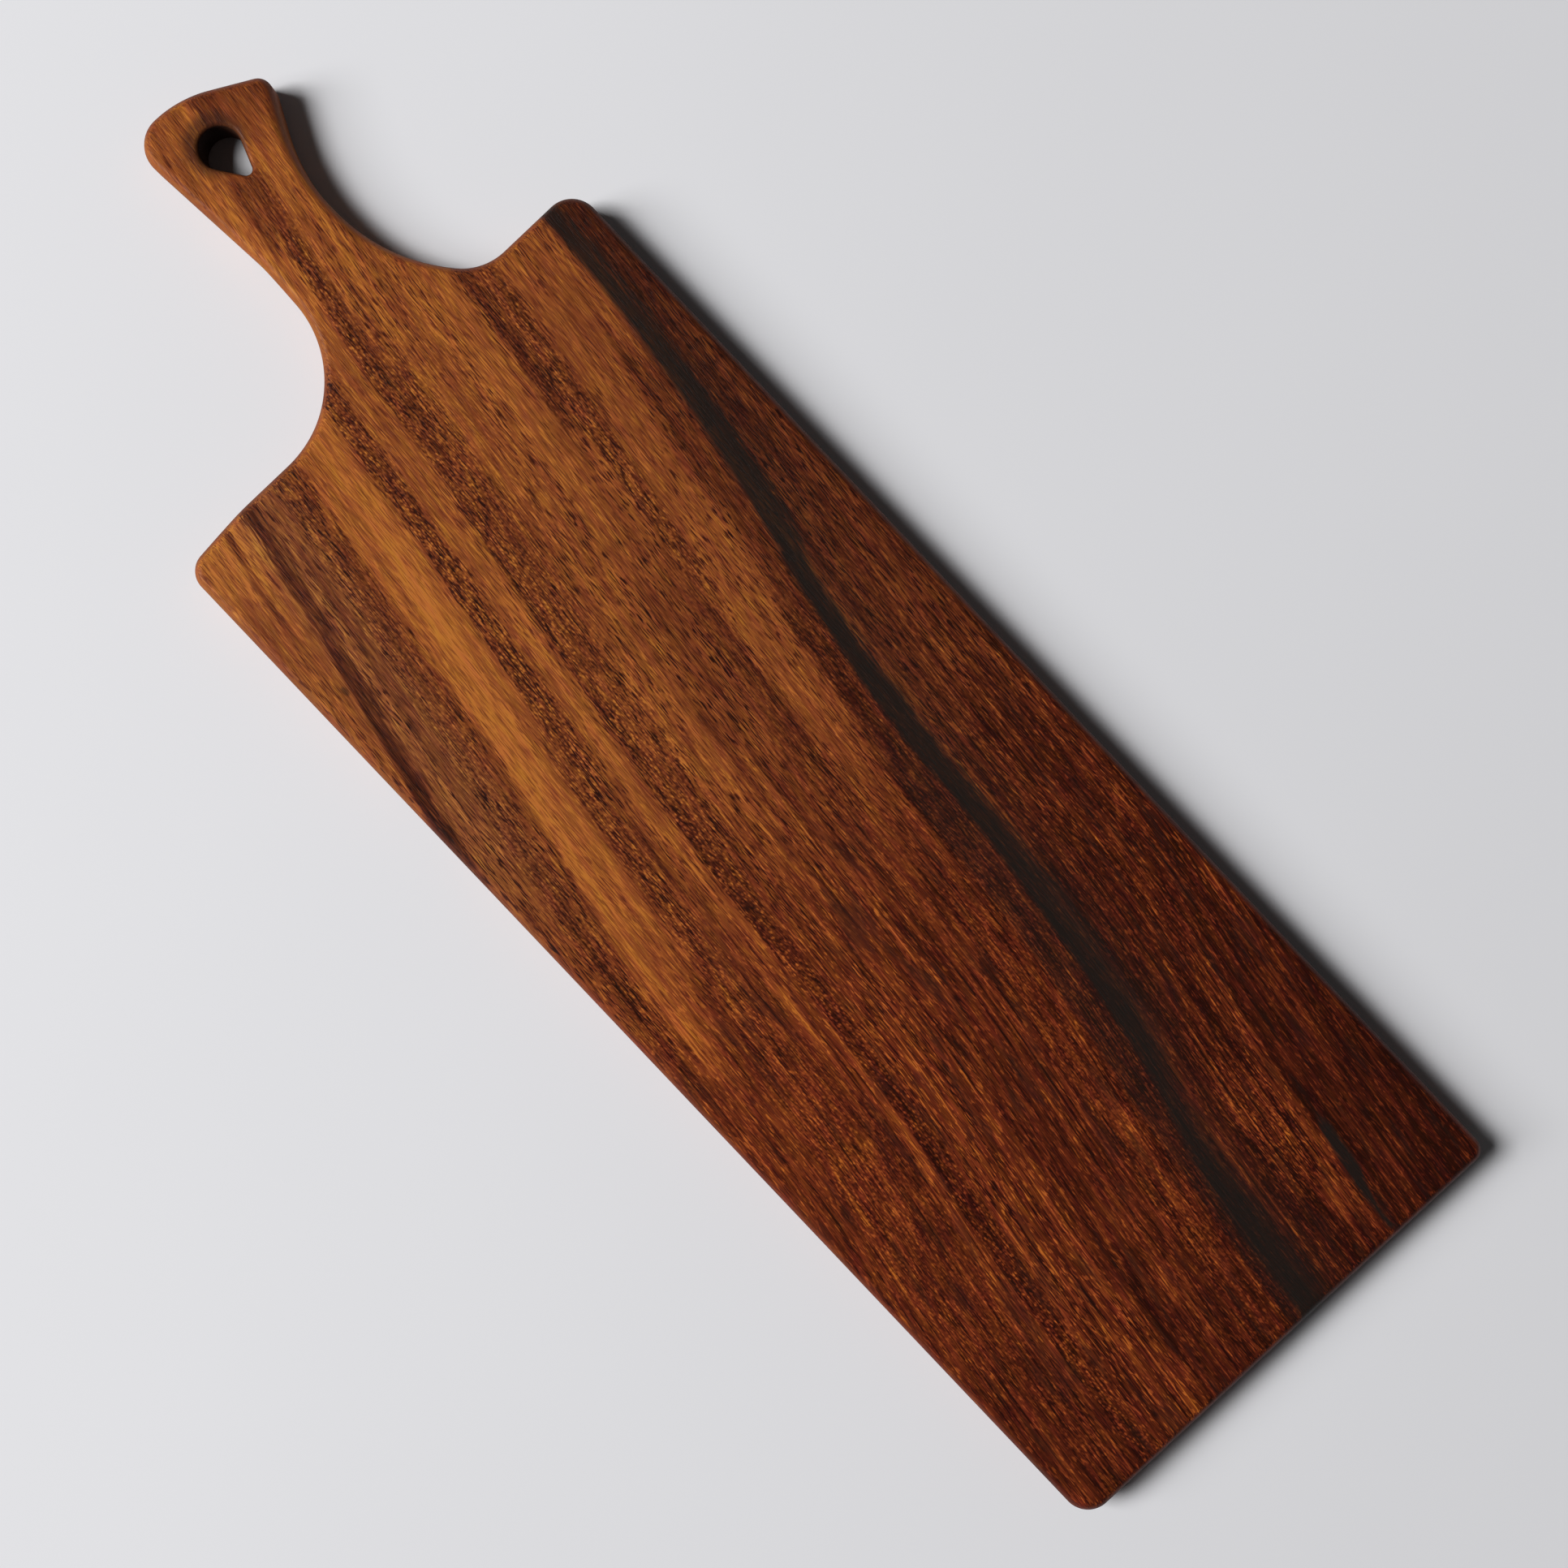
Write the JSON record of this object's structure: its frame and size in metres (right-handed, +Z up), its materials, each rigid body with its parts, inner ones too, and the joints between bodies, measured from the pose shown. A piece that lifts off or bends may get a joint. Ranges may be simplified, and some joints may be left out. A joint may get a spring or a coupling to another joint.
{
  "type": "paddle serving board",
  "caption": "Long wooden paddle board for serving or cutting, with scooped shoulders, an offset waisted handle, a teardrop hang hole and rounded edges.",
  "frame": {"origin": "middle of the underside, on the surface that the board lies on", "axes": "+X from the handle towards the far end, +Y to the left of a person who holds the handle, +Z up out of the serving face"},
  "size_m": [0.6099, 0.2, 0.019],
  "materials": {
    "board": "oiled satin, dark red-brown hardwood with black and golden streaks"
  },
  "bodies": {
    "root": {"board": "board"}
  },
  "joints": []
}
